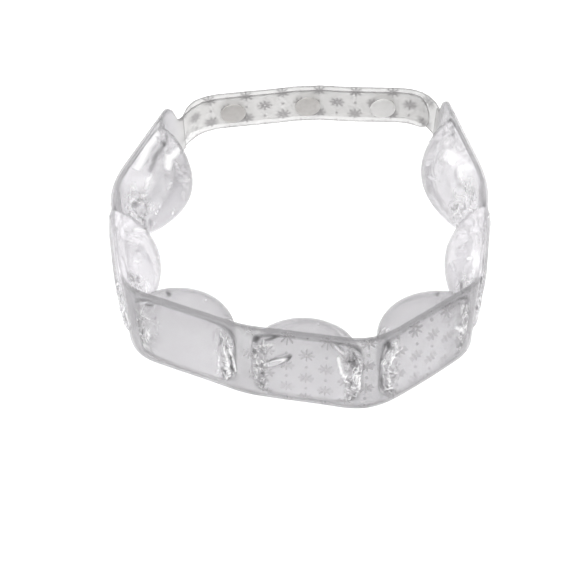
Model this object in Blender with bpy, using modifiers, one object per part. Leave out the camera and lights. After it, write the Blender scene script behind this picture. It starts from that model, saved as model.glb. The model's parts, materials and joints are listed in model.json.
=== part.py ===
"""Cooling neck wrap, a worn loop of seven gel pillows.

Two clear films are welded together round seven gel-filled chambers. The outer film stays nearly
flat, the inner film is formed into deep domes towards the neck. At the back the strip narrows
into two tabs, which overlap and are held by three plastic snaps. The loop stands on its lower
edge. Metres, +Z up, the front of the neck faces -Y and the inside of the loop is the neck's.

Along the strip, s is the distance from the left back end of the body: the body runs from s = 0
round the front to the right back end, the inner tab lies at s below zero and the outer tab past
the body's length. An inset is a distance from the middle line towards the neck.
"""

import math
from collections import namedtuple

import bmesh
import bpy
from mathutils import Matrix, Vector
from mathutils.geometry import interpolate_bezier

NAME = "neck_wrap"

# Body strip
BODY_HEIGHT = 0.050
PILLOW_PITCH = 0.053
CHAMBER_LENGTH = 0.0455
CHAMBER_HEIGHT = 0.0425
FILM = 0.0006
LAYER_GAP = 0.0003
CLEARANCE = 0.0003

# Pillow form: the dome is deeper above its middle by the lift's share. Powers shape the
# chamber's round-cornered outline, how steeply the bulges leave it, how gently they fall to
# the chamber's ends and the flat outer bulge. Gathers take a share off the outer bulge, in
# waves up the chamber, from their start on the way to the chamber's end
DOME_DEPTH = 0.0182
DOME_LIFT = 0.18
OUTER_BULGE = 0.0028
OUTLINE_POWER = 4.5
RIM_POWER = 14
END_EASE = 1.35
OUTER_POWER = 4
GATHER_SHARE = 0.45
GATHER_WAVES = 2
GATHER_START = 0.5
GATHER_RUN = 0.4

# Loop in plan
START_HEADING = math.radians(245.5)
Pillow = namedtuple("Pillow", "turn bend dome bulge lean")
PILLOWS = (
    # turn in degrees from the pillow before, the bend's length as a share of the pitch, dome and
    # bulge as shares of the sizes above, and how far the foot of the wall stands out beyond its
    # top, as a share of the body's height
    Pillow(turn=0.0, bend=0.35, dome=1.22, bulge=1.0, lean=0.0),
    Pillow(turn=34.5, bend=0.65, dome=0.92, bulge=0.9, lean=0.0),
    Pillow(turn=58.5, bend=0.48, dome=1.06, bulge=0.9, lean=0.0),
    Pillow(turn=13.0, bend=0.35, dome=0.98, bulge=1.0, lean=0.015),
    Pillow(turn=43.0, bend=0.56, dome=1.07, bulge=1.0, lean=0.05),
    Pillow(turn=46.0, bend=0.32, dome=0.78, bulge=0.9, lean=0.02),
    Pillow(turn=25.0, bend=0.65, dome=0.97, bulge=1.0, lean=0.0),
)

# Shoulder between body and tab, and the strap's route behind the body ends
CORNER_RADIUS = 0.008
FILLET_RADIUS = 0.004
SHOULDER_SLOPE = math.radians(70)
TAB_WIDTH = 0.020
TAB_END_GAP = 0.013
STRAP_RISE = 0.0263
ROOT_HANDLE_SHARE = 1.2
MIDDLE_HANDLE_SHARE = 0.38
MIDDLE_SHIFT_SHARE = 0.02
MIDDLE_BREAK_RISE = 0.16
LAP_RAMP = 0.014

# Snaps
SNAP_SPACING = 0.0370
CAP_RADIUS = 0.0061
CAP_FLAT_RADIUS = 0.0036
CAP_RIM = 0.0006
CAP_DOME = 0.0007
POST_RADIUS = 0.0011
SOCKET_RADIUS = 0.0049
SOCKET_HEIGHT = 0.0011
SOCKET_FLOOR = 0.0004
KNOB_RADIUS = 0.0023
STUD_RADIUS = 0.0043
STUD_FLANGE = 0.0005
SEAT_MARGIN = 0.0006

# Mesh fineness
CHAMBER_STEPS = 8
SHOULDER_STEPS = 3
TAB_END_STEPS = 4
SEAT_STEP = 0.009
CAP_SIDES = 16
SNAP_SIDES = 12
ROUTE_STEP = 0.0004

# Worked out from the sizes above
BODY_LENGTH = PILLOW_PITCH * len(PILLOWS)
HALF_HEIGHT = BODY_HEIGHT / 2
HALF_TAB = TAB_WIDTH / 2
END_MARGIN = (PILLOW_PITCH - CHAMBER_LENGTH) / 2
CHAMBER_SHARE = CHAMBER_HEIGHT / BODY_HEIGHT
FILM_MIDDLE = -(LAYER_GAP + FILM) / 2
BETWEEN_TABS = SOCKET_HEIGHT + STUD_FLANGE + 3 * CLEARANCE
TAB_OFFSET = (BETWEEN_TABS + FILM) / 2
HOLE_RADIUS = POST_RADIUS + CLEARANCE
SEAT_HALF = CAP_RADIUS + SEAT_MARGIN


def smooth(x):
    """Rises from 0 to 1 with level ends."""
    x = min(max(x, 0.0), 1.0)
    return x * x * (3 - 2 * x)


class Route:
    """A plan curve read by its length, as a point and the direction towards the neck."""

    def __init__(self, points):
        self.points = points
        self.lengths = [0.0]
        for here, there in zip(points, points[1:]):
            self.lengths.append(self.lengths[-1] + (there - here).length)
        self.length = self.lengths[-1]

    def point(self, s):
        s = min(max(s, 0.0), self.length)
        share = s / self.length
        index = min(int(share * (len(self.points) - 1)), len(self.points) - 2)
        while index and self.lengths[index] > s:
            index -= 1
        while index < len(self.points) - 2 and self.lengths[index + 1] < s:
            index += 1
        run = self.lengths[index + 1] - self.lengths[index]
        return self.points[index].lerp(self.points[index + 1], (s - self.lengths[index]) / run)

    def at(self, s):
        ahead = self.point(s + ROUTE_STEP) - self.point(s - ROUTE_STEP)
        ahead.normalize()
        return self.point(s), Vector((-ahead.y, ahead.x, 0))


def direction(heading):
    return Vector((math.cos(heading), math.sin(heading), 0))


def body_heading(s):
    heading = START_HEADING
    for number, pillow in enumerate(PILLOWS):
        along = (s / PILLOW_PITCH - number) / pillow.bend + 0.5
        heading += math.radians(pillow.turn) * smooth(along)
    return heading


def body_route():
    steps = round(BODY_LENGTH / ROUTE_STEP)
    step = BODY_LENGTH / steps
    points = [Vector((0, 0, 0))]
    for number in range(steps):
        heading = body_heading((number + 0.5) * step)
        points.append(points[-1] + step * direction(heading))
    return Route(points)


def strap_route(body):
    """From the body's right back end to its left one, over a middle knot behind them.

    The strap breaks slightly at the knot, where the middle snap stiffens it.
    """
    right, left = body.points[-1], body.points[0]
    chord = left - right
    outward = Vector((chord.y, -chord.x, 0)).normalized()
    middle = right.lerp(left, 0.5 - MIDDLE_SHIFT_SHARE) + STRAP_RISE * outward
    root = ROOT_HANDLE_SHARE * STRAP_RISE
    from_right = right + root * direction(body_heading(BODY_LENGTH))
    to_left = left - root * direction(body_heading(0))
    level = MIDDLE_HANDLE_SHARE * chord
    back = MIDDLE_BREAK_RISE * level.length * outward
    count = round(chord.length / ROUTE_STEP)
    first = interpolate_bezier(right, from_right, middle - level - back, middle, count)
    second = interpolate_bezier(middle, middle + level - back, to_left, left, count)
    return Route(list(first) + list(second)[1:])


BODY = body_route()
STRAP = strap_route(BODY)
TAB_LENGTH = STRAP.length - TAB_END_GAP


def loop_at(s):
    """The middle line's point and inward direction, on the strap outside the body."""
    if s < 0:
        return STRAP.at(STRAP.length + s)
    if s > BODY_LENGTH:
        return STRAP.at(s - BODY_LENGTH)
    return BODY.at(s)


def lap(s):
    """How far a tab leaves the middle line: the inner tab towards the neck, the outer away."""
    if s < 0:
        return TAB_OFFSET * smooth(-s / LAP_RAMP)
    return -TAB_OFFSET * smooth((s - BODY_LENGTH) / LAP_RAMP)


def lean_at(s):
    """How far the wall's foot stands out beyond its top, blended from pillow to pillow."""
    along = min(max(s / PILLOW_PITCH - 0.5, 0.0), len(PILLOWS) - 1.0)
    before = min(int(along), len(PILLOWS) - 2)
    share = smooth(along - before)
    lean = PILLOWS[before].lean * (1 - share) + PILLOWS[before + 1].lean * share
    return BODY_HEIGHT * lean


def place(s, height, inset):
    """The point at this distance, height over the strip's middle and inset."""
    point, inward = loop_at(s)
    foot = lean_at(s) * (0.5 - height / BODY_HEIGHT)
    point = point + (lap(s) + inset - foot) * inward
    return Vector((point.x, point.y, HALF_HEIGHT + height))


def shoulder():
    """Rows of (distance past the body's length, half height) from the last chamber to the tab.

    A round corner, a slope and a fillet, which starts where the chamber ends.
    """
    rows = []
    for step in range(1, SHOULDER_STEPS + 1):
        angle = SHOULDER_SLOPE * step / SHOULDER_STEPS
        run = CORNER_RADIUS * math.sin(angle)
        rows.append((run, HALF_HEIGHT - CORNER_RADIUS * (1 - math.cos(angle))))
    fillet_drop = FILLET_RADIUS * (1 - math.cos(SHOULDER_SLOPE))
    slope_drop = rows[-1][1] - HALF_TAB - fillet_drop
    fillet_start = rows[-1][0] + slope_drop / math.tan(SHOULDER_SLOPE)
    fillet_end = fillet_start + FILLET_RADIUS * math.sin(SHOULDER_SLOPE)
    for step in range(SHOULDER_STEPS + 1):
        angle = SHOULDER_SLOPE * (1 - step / SHOULDER_STEPS)
        run = fillet_end - FILLET_RADIUS * math.sin(angle)
        rows.append((run, HALF_TAB + FILLET_RADIUS * (1 - math.cos(angle))))
    return [(run - END_MARGIN, half) for run, half in rows]


def snap_places():
    """Distances along the strap of the three snaps, from the body's right end."""
    return [STRAP.length / 2 + number * SNAP_SPACING for number in (1, 0, -1)]


def tab_rows():
    """Rows of (distance from the body end, half height) from a tab's root to its round end.

    Each snap seat is one flat facet, and the stretches between take equal steps.
    """
    root = shoulder()[-1][0]
    flats = []
    for place_of_snap in sorted(snap_places()):
        flats.append((place_of_snap - SEAT_HALF, place_of_snap + SEAT_HALF))
    stops = [root]
    for start, end in flats + [(TAB_LENGTH - HALF_TAB, None)]:
        before = stops[-1]
        count = max(1, math.ceil((start - before) / SEAT_STEP))
        stops += [before + (start - before) * (step + 1) / count for step in range(count)]
        if end is not None:
            stops.append(end)
    rows = [(stop, HALF_TAB) for stop in stops[1:]]
    for step in range(1, TAB_END_STEPS + 1):
        angle = math.pi / 2 * step / TAB_END_STEPS
        rows.append((stops[-1] + HALF_TAB * math.sin(angle), HALF_TAB * math.cos(angle)))
    return rows


def squircle(a, b):
    """Moves a square's grid point to rings of the chamber's rounded outline.

    Returns the point as shares of the chamber's half sizes, and its ring from 0 to 1.
    """
    ring = max(abs(a), abs(b))
    if ring < 1e-9:
        return 0.0, 0.0, 0.0
    norm = (abs(a) ** OUTLINE_POWER + abs(b) ** OUTLINE_POWER) ** (1 / OUTLINE_POWER)
    reach = math.sin(ring * math.pi / 2)
    return a / norm * reach, b / norm * reach, reach


def rise(u, v, reach, power):
    """A bulge's height as a share of its depth: a section each way, closed along the outline."""
    along = max(0.0, 1 - abs(u) ** power)
    upward = max(0.0, 1 - abs(v) ** power)
    rim = max(0.0, 1 - reach**RIM_POWER)
    return math.sqrt(along**END_EASE * upward * rim)


def gather(u, v):
    """What the film's gathers leave of the outer bulge near the chamber's ends."""
    towards_end = smooth((abs(u) - GATHER_START) / GATHER_RUN)
    wave = 0.5 + 0.5 * math.cos(2 * math.pi * GATHER_WAVES * v)
    return 1 - GATHER_SHARE * towards_end * wave


def inner_inset(pillow, u, v, reach):
    depth = DOME_DEPTH * pillow.dome * (1 + DOME_LIFT * v)
    return LAYER_GAP / 2 + depth * rise(u, v, reach, 2)


def outer_inset(pillow, u, v, reach):
    bulge = OUTER_BULGE * pillow.bulge * rise(u, v, reach, OUTER_POWER)
    return -LAYER_GAP / 2 - bulge * gather(u, v)


def columns(with_tabs):
    """The film's columns: a pillow's number and grid share, or a place with its half height."""
    edge = shoulder() + (tab_rows() if with_tabs else [])
    edge = [(BODY_LENGTH + run, half) for run, half in edge]
    found = [("plain", BODY_LENGTH - s, half) for s, half in reversed(edge)]
    for number in range(len(PILLOWS)):
        if number:
            found.append(("plain", number * PILLOW_PITCH, HALF_HEIGHT))
        for step in range(CHAMBER_STEPS + 1):
            found.append(("chamber", number, 2 * step / CHAMBER_STEPS - 1))
    return found + [("plain", s, half) for s, half in edge]


def film_point(column, b, edge, inset_of):
    """A film's point: b is the row's share of the chamber height, edge -1, 0 or 1."""
    kind, first, second = column
    if kind == "plain":
        share = edge if edge else b * CHAMBER_SHARE
        return place(first, share * second, inset_of(PILLOWS[0], 0, 0, 1.0))
    pillow = PILLOWS[first]
    middle = (first + 0.5) * PILLOW_PITCH
    if edge:
        along = math.sin(second * math.pi / 2) * CHAMBER_LENGTH / 2
        return place(middle + along, edge * HALF_HEIGHT, inset_of(pillow, 0, 0, 1.0))
    u, v, reach = squircle(second, b)
    s = middle + u * CHAMBER_LENGTH / 2
    return place(s, v * CHAMBER_HEIGHT / 2, inset_of(pillow, u, v, reach))


def grid_mesh(across, up, point_of):
    """A grid whose points are moved by their column and row numbers, split to short diagonals."""
    shape = bmesh.new()
    bmesh.ops.create_grid(shape, x_segments=across, y_segments=up, size=1)
    for vert in shape.verts:
        column = round((vert.co.x + 1) / 2 * across)
        row = round((vert.co.y + 1) / 2 * up)
        vert.co = point_of(column, row)
    bmesh.ops.triangulate(shape, faces=shape.faces, quad_method="SHORT_EDGE")
    return shape


def film(name, with_tabs, inset_of, side, finish):
    """One welded film: its face to the gel is drawn, and Solidify gives it its thickness."""
    found = columns(with_tabs)

    def point_of(column, row):
        edge = -1 if row == 0 else 1 if row == CHAMBER_STEPS + 2 else 0
        return film_point(found[column], 2 * (row - 1) / CHAMBER_STEPS - 1, edge, inset_of)

    shape = grid_mesh(len(found) - 1, CHAMBER_STEPS + 2, point_of)
    bmesh.ops.remove_doubles(shape, verts=shape.verts, dist=1e-6)
    obj = add_mesh(name, shape, finish)
    wall = obj.modifiers.new("wall", "SOLIDIFY")
    wall.thickness = FILM
    wall.offset = side
    wall.use_even_offset = True
    return obj


def gel_pillow(number, finish):
    """The filling of one chamber, a clearance inside both films."""
    pillow = PILLOWS[number]
    middle = (number + 0.5) * PILLOW_PITCH
    half_length = CHAMBER_LENGTH / 2 - CLEARANCE
    half_height = CHAMBER_HEIGHT / 2 - CLEARANCE

    def side(inset_of, inward):
        def point_of(column, row):
            u, v, reach = squircle(2 * column / CHAMBER_STEPS - 1, 2 * row / CHAMBER_STEPS - 1)
            inset = 0.0
            if reach < 1 - 1e-9:
                inset = inset_of(pillow, u, v, reach) - inward * CLEARANCE
            return place(middle + u * half_length, v * half_height, inset)

        return grid_mesh(CHAMBER_STEPS, CHAMBER_STEPS, point_of)

    shape = side(outer_inset, -1)
    neck_side = side(inner_inset, 1)
    bmesh.ops.reverse_faces(neck_side, faces=neck_side.faces)
    joined = bpy.data.meshes.new("neck_side")
    neck_side.to_mesh(joined)
    neck_side.free()
    shape.from_mesh(joined)
    bpy.data.meshes.remove(joined)
    bmesh.ops.remove_doubles(shape, verts=shape.verts, dist=1e-6)
    return add_mesh(f"gel_pillow_{number + 1}", shape, finish)


def add_mesh(name, shape, finish):
    mesh = bpy.data.meshes.new(name)
    shape.to_mesh(mesh)
    shape.free()
    return add_object(name, mesh, finish)


def add_object(name, mesh, finish):
    obj = bpy.data.objects.new(name, mesh)
    mesh.materials.append(finish)
    PARTS.objects.link(obj)
    obj.parent = STAND
    return obj


def turned(name, profile, closed, sides, finish):
    """A profile of (radius, height) rows, outer side from top to bottom, turned about Z."""
    shape = bmesh.new()
    verts = [shape.verts.new((radius, 0, height)) for radius, height in profile]
    for here, there in zip(verts, verts[1:]):
        shape.edges.new((here, there))
    if closed:
        shape.edges.new((verts[-1], verts[0]))
    obj = add_mesh(name, shape, finish)
    turn = obj.modifiers.new("turn", "SCREW")
    turn.axis = "Z"
    turn.angle = 2 * math.pi
    turn.steps = sides
    turn.render_steps = sides
    turn.use_merge_vertices = True
    turn.merge_threshold = 1e-5
    turn.use_smooth_shade = True
    return obj


def cap_profile(post_end):
    """Flat-topped cap with a rounded rim, whose post reaches post_end. Z points off the film."""
    under = TAB_OFFSET + FILM / 2 + CLEARANCE
    rim = under + CAP_RIM
    top = rim + CAP_DOME
    rows = [(0, top)]
    for angle in (90, 50, 15):
        spread = CAP_FLAT_RADIUS + (CAP_RADIUS - CAP_FLAT_RADIUS) * math.cos(math.radians(angle))
        rows.append((spread, rim + CAP_DOME * math.sin(math.radians(angle))))
    return rows + [(CAP_RADIUS, under), (POST_RADIUS, under), (POST_RADIUS, post_end), (0, post_end)]


def snap(number, seat, finish):
    """One fastened snap on its seat, whose Z is the direction towards the neck."""
    tab_face = BETWEEN_TABS / 2
    socket_top = tab_face - CLEARANCE
    socket_bottom = socket_top - SOCKET_HEIGHT
    floor = socket_top - SOCKET_FLOOR
    recess = KNOB_RADIUS + CLEARANCE
    flange_bottom = -tab_face + CLEARANCE
    flange_top = flange_bottom + STUD_FLANGE
    knob_top = floor - CLEARANCE
    socket = (
        (HOLE_RADIUS, socket_top),
        (SOCKET_RADIUS, socket_top),
        (SOCKET_RADIUS, socket_bottom),
        (recess, socket_bottom),
        (recess, floor),
        (HOLE_RADIUS, floor),
    )
    stud = (
        (HOLE_RADIUS, knob_top),
        (KNOB_RADIUS, knob_top),
        (KNOB_RADIUS, flange_top),
        (STUD_RADIUS, flange_top),
        (STUD_RADIUS, flange_bottom),
        (HOLE_RADIUS, flange_bottom),
    )
    away = seat @ Matrix.Rotation(math.pi, 4, "X")
    label = f"snap_{number}"
    pieces = (
        (turned(f"{label}_inner_cap", cap_profile(floor), False, CAP_SIDES, finish), seat),
        (turned(f"{label}_socket", socket, True, SNAP_SIDES, finish), seat),
        (turned(f"{label}_stud", stud, True, SNAP_SIDES, finish), seat),
        (turned(f"{label}_outer_cap", cap_profile(-flange_top), False, CAP_SIDES, finish), away),
    )
    for piece, matrix in pieces:
        piece.matrix_parent_inverse = Matrix.Identity(4)
        piece.matrix_basis = matrix


def snap_seat(along):
    """The seat's matrix: between the two flat facets of the tabs, Z towards the neck."""
    before = STRAP.at(along - SEAT_HALF)
    after = STRAP.at(along + SEAT_HALF)
    centre = (before[0] + after[0]) / 2 + FILM_MIDDLE * (before[1] + after[1]) / 2
    across = (after[0] - before[0]).normalized()
    inward = Vector((-across.y, across.x, 0))
    up = Vector((0, 0, 1))
    turn = Matrix((up.cross(inward), up, inward)).transposed()
    return Matrix.Translation(centre + HALF_HEIGHT * up) @ turn.to_4x4()


def pierce(obj, seats):
    """Cuts the post holes of every snap through both tabs."""
    for number, seat in enumerate(seats, 1):
        shape = bmesh.new()
        bmesh.ops.create_cone(
            shape,
            cap_ends=True,
            segments=SNAP_SIDES,
            radius1=HOLE_RADIUS,
            radius2=HOLE_RADIUS,
            depth=2 * (TAB_OFFSET + FILM + CAP_RIM),
        )
        mesh = bpy.data.meshes.new(f"post_hole_{number}")
        shape.to_mesh(mesh)
        shape.free()
        cutter = bpy.data.objects.new(f"post_hole_{number}", mesh)
        CUTTERS.objects.link(cutter)
        cutter.parent = STAND
        cutter.matrix_basis = seat
        cutter.hide_render = True
        cutter.display_type = "WIRE"
        hole = obj.modifiers.new(f"post_hole_{number}", "BOOLEAN")
        hole.operation = "DIFFERENCE"
        hole.object = cutter


def material(name, colour, roughness, transmission=0.0, ior=1.5):
    made = bpy.data.materials.new(name)
    made.use_nodes = True
    shader = made.node_tree.nodes["Principled BSDF"]
    shader.inputs["Base Color"].default_value = (*colour, 1)
    shader.inputs["Roughness"].default_value = roughness
    shader.inputs["Metallic"].default_value = 0.0
    shader.inputs["Transmission Weight"].default_value = transmission
    shader.inputs["IOR"].default_value = ior
    made.diffuse_color = (*colour, 1)
    return made


def clear_scene():
    for obj in list(bpy.data.objects):
        bpy.data.objects.remove(obj, do_unlink=True)


def add_collection(name):
    made = bpy.data.collections.new(name)
    bpy.context.scene.collection.children.link(made)
    return made


def centre_stand():
    """Moves the stand so that the loop's box is centred over the origin."""
    bpy.context.view_layer.update()
    graph = bpy.context.evaluated_depsgraph_get()
    corners = []
    for obj in PARTS.objects:
        if obj.type != "MESH":
            continue
        evaluated = obj.evaluated_get(graph)
        corners += [evaluated.matrix_world @ vert.co for vert in evaluated.data.vertices]
    middle_x = (min(c.x for c in corners) + max(c.x for c in corners)) / 2
    middle_y = (min(c.y for c in corners) + max(c.y for c in corners)) / 2
    STAND.location = (-middle_x, -middle_y, 0)
    bpy.context.view_layer.update()


clear_scene()
PARTS = add_collection(NAME)
CUTTERS = add_collection("cutters")
STAND = bpy.data.objects.new("stand", None)
PARTS.objects.link(STAND)

film_finish = material("clear_film", (0.80, 0.80, 0.84), 0.12, transmission=0.9, ior=1.45)
gel_finish = material("clear_gel", (0.78, 0.78, 0.83), 0.05, transmission=0.95, ior=1.36)
snap_finish = material("white_plastic", (0.86, 0.86, 0.85), 0.35)

outer = film("outer_film", True, outer_inset, 1, film_finish)
film("inner_film", False, inner_inset, -1, film_finish)
for index in range(len(PILLOWS)):
    gel_pillow(index, gel_finish)
snap_seats = [snap_seat(along) for along in snap_places()]
for index, snap_matrix in enumerate(snap_seats, 1):
    snap(index, snap_matrix, snap_finish)
pierce(outer, snap_seats)
centre_stand()
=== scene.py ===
"""Looks of the cooling neck wrap: clear welded films, puckered gel pillows and moulded snaps.

The films, pillows and caps are drawn again round the same middle line as the solids, with finer
steps, gathers at the chambers' ends and a snowflake print. Metres, +Z up, the neck's front at -Y.

Along the strip, s is the distance from the left back end of the body: the body runs from s = 0
round the front to the right back end, the inner tab lies at s below zero and the outer tab past
the body's length. An inset is a distance from the middle line towards the neck.
"""

import json
import math
from collections import namedtuple

import bmesh
import bpy
from mathutils import Matrix, Vector, noise
from mathutils.geometry import interpolate_bezier

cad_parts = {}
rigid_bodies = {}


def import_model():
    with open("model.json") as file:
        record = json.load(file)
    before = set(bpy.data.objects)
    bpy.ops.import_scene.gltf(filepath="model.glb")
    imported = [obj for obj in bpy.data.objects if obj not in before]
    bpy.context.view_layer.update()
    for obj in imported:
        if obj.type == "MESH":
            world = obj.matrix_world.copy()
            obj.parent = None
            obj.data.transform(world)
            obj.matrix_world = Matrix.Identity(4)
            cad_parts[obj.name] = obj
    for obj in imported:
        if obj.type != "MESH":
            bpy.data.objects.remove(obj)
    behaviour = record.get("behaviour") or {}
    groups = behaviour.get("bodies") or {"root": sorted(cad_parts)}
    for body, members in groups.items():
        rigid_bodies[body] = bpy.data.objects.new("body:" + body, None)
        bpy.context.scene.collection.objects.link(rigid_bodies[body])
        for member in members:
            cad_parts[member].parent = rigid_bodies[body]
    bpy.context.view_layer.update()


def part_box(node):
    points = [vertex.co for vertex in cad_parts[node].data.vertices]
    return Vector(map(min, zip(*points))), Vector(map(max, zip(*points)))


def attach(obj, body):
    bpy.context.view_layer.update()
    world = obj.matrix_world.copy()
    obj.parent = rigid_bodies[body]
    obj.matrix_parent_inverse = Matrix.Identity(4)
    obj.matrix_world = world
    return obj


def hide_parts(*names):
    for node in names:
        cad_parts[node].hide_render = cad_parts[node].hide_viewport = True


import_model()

MM = 0.001

# Body strip, as in the solids
BODY_HEIGHT = 0.050
PILLOW_PITCH = 0.053
CHAMBER_LENGTH = 0.0455
CHAMBER_HEIGHT = 0.0425
FILM = 0.0006
LAYER_GAP = 0.0003
CLEARANCE = 0.0003

# Pillow form, as in the solids
DOME_DEPTH = 0.0182
DOME_LIFT = 0.18
OUTER_BULGE = 0.0028
OUTLINE_POWER = 4.5
RIM_POWER = 14
END_EASE = 1.35
OUTER_POWER = 4
GATHER_SHARE = 0.45
GATHER_WAVES = 2
GATHER_START = 0.5
GATHER_RUN = 0.4

# Loop in plan, as in the solids
START_HEADING = math.radians(245.5)
Pillow = namedtuple("Pillow", "turn bend dome bulge lean")
PILLOWS = (
    Pillow(turn=0.0, bend=0.35, dome=1.22, bulge=1.0, lean=0.0),
    Pillow(turn=34.5, bend=0.65, dome=0.92, bulge=0.9, lean=0.0),
    Pillow(turn=58.5, bend=0.48, dome=1.06, bulge=0.9, lean=0.0),
    Pillow(turn=13.0, bend=0.35, dome=0.98, bulge=1.0, lean=0.015),
    Pillow(turn=43.0, bend=0.56, dome=1.07, bulge=1.0, lean=0.05),
    Pillow(turn=46.0, bend=0.32, dome=0.78, bulge=0.9, lean=0.02),
    Pillow(turn=25.0, bend=0.65, dome=0.97, bulge=1.0, lean=0.0),
)

# Shoulder, tabs and strap route, as in the solids
CORNER_RADIUS = 0.008
FILLET_RADIUS = 0.004
SHOULDER_SLOPE = math.radians(70)
TAB_WIDTH = 0.020
TAB_END_GAP = 0.013
STRAP_RISE = 0.0263
ROOT_HANDLE_SHARE = 1.2
MIDDLE_HANDLE_SHARE = 0.38
MIDDLE_SHIFT_SHARE = 0.02
MIDDLE_BREAK_RISE = 0.16
LAP_RAMP = 0.014

# Snaps, as in the solids
SNAP_SPACING = 0.0370
CAP_RADIUS = 0.0061
CAP_RIM = 0.0006
CAP_DOME = 0.0007
SOCKET_HEIGHT = 0.0011
STUD_FLANGE = 0.0005
SEAT_MARGIN = 0.0006

# Mesh fineness
OUTER_STEPS = 68
INNER_STEPS = 72
GAP_STEPS = 6
SHOULDER_STEPS = 6
TAB_END_STEPS = 10
TAB_STEP = 0.003
GEL_STEPS = 80
CAP_SIDES = 64
CAP_RINGS = (0.2, 0.4, 0.55, 0.7, 0.8, 0.88, 0.94, 0.98, 1.0)
CAP_EDGE = 0.00015
ROUTE_STEP = 0.0004

# Worked out from the sizes above
BODY_LENGTH = PILLOW_PITCH * len(PILLOWS)
HALF_HEIGHT = BODY_HEIGHT / 2
HALF_TAB = TAB_WIDTH / 2
END_MARGIN = (PILLOW_PITCH - CHAMBER_LENGTH) / 2
CHAMBER_SHARE = CHAMBER_HEIGHT / BODY_HEIGHT
FILM_MIDDLE = -(LAYER_GAP + FILM) / 2
BETWEEN_TABS = SOCKET_HEIGHT + STUD_FLANGE + 3 * CLEARANCE
TAB_OFFSET = (BETWEEN_TABS + FILM) / 2
SEAT_HALF = CAP_RADIUS + SEAT_MARGIN

# The run over which the body's looks pass into the strap's
SHOULDER_BLEND = 0.012

# Camera, fitted to the photograph: the point on the floor that it looks at, its distance, height
# angle and lens on a 36 mm sensor
CAMERA_TARGET = Vector((-0.0053, -0.0160, 0))
CAMERA_DISTANCE = 0.5539
CAMERA_RISE = math.radians(53.6)
CAMERA_LENS = 75
FLOOR_SIZE = 8


def smooth(x):
    """Rises from 0 to 1 with level ends."""
    x = min(max(x, 0.0), 1.0)
    return x * x * (3 - 2 * x)


class Route:
    """A plan curve read by its length, as a point and the direction towards the neck."""

    def __init__(self, points):
        self.points = points
        self.lengths = [0.0]
        for here, there in zip(points, points[1:]):
            self.lengths.append(self.lengths[-1] + (there - here).length)
        self.length = self.lengths[-1]

    def point(self, s):
        s = min(max(s, 0.0), self.length)
        share = s / self.length
        index = min(int(share * (len(self.points) - 1)), len(self.points) - 2)
        while index and self.lengths[index] > s:
            index -= 1
        while index < len(self.points) - 2 and self.lengths[index + 1] < s:
            index += 1
        run = self.lengths[index + 1] - self.lengths[index]
        return self.points[index].lerp(self.points[index + 1], (s - self.lengths[index]) / run)

    def at(self, s):
        ahead = self.point(s + ROUTE_STEP) - self.point(s - ROUTE_STEP)
        ahead.normalize()
        return self.point(s), Vector((-ahead.y, ahead.x, 0))


def direction(heading):
    return Vector((math.cos(heading), math.sin(heading), 0))


def body_heading(s):
    heading = START_HEADING
    for number, pillow in enumerate(PILLOWS):
        along = (s / PILLOW_PITCH - number) / pillow.bend + 0.5
        heading += math.radians(pillow.turn) * smooth(along)
    return heading


def body_route():
    steps = round(BODY_LENGTH / ROUTE_STEP)
    step = BODY_LENGTH / steps
    points = [Vector((0, 0, 0))]
    for number in range(steps):
        heading = body_heading((number + 0.5) * step)
        points.append(points[-1] + step * direction(heading))
    return Route(points)


def strap_route(body):
    """From the body's right back end to its left one, over a middle knot behind them."""
    right, left = body.points[-1], body.points[0]
    chord = left - right
    outward = Vector((chord.y, -chord.x, 0)).normalized()
    middle = right.lerp(left, 0.5 - MIDDLE_SHIFT_SHARE) + STRAP_RISE * outward
    root = ROOT_HANDLE_SHARE * STRAP_RISE
    from_right = right + root * direction(body_heading(BODY_LENGTH))
    to_left = left - root * direction(body_heading(0))
    level = MIDDLE_HANDLE_SHARE * chord
    back = MIDDLE_BREAK_RISE * level.length * outward
    count = round(chord.length / ROUTE_STEP)
    first = interpolate_bezier(right, from_right, middle - level - back, middle, count)
    second = interpolate_bezier(middle, middle + level - back, to_left, left, count)
    return Route(list(first) + list(second)[1:])


BODY = body_route()
STRAP = strap_route(BODY)
TAB_LENGTH = STRAP.length - TAB_END_GAP


def loop_at(s):
    """The middle line's point and inward direction, on the strap outside the body."""
    if s < 0:
        return STRAP.at(STRAP.length + s)
    if s > BODY_LENGTH:
        return STRAP.at(s - BODY_LENGTH)
    return BODY.at(s)


def lap(s):
    """How far a tab leaves the middle line: the inner tab towards the neck, the outer away."""
    if s < 0:
        return TAB_OFFSET * smooth(-s / LAP_RAMP)
    return -TAB_OFFSET * smooth((s - BODY_LENGTH) / LAP_RAMP)


def lean_at(s):
    """How far the wall's foot stands out beyond its top, blended from pillow to pillow."""
    along = min(max(s / PILLOW_PITCH - 0.5, 0.0), len(PILLOWS) - 1.0)
    before = min(int(along), len(PILLOWS) - 2)
    share = smooth(along - before)
    lean = PILLOWS[before].lean * (1 - share) + PILLOWS[before + 1].lean * share
    return BODY_HEIGHT * lean


def place(s, height, inset):
    """The point at this distance, height over the strip's middle and inset."""
    point, inward = loop_at(s)
    foot = lean_at(s) * (0.5 - height / BODY_HEIGHT)
    point = point + (lap(s) + inset - foot) * inward
    return Vector((point.x, point.y, HALF_HEIGHT + height))


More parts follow.
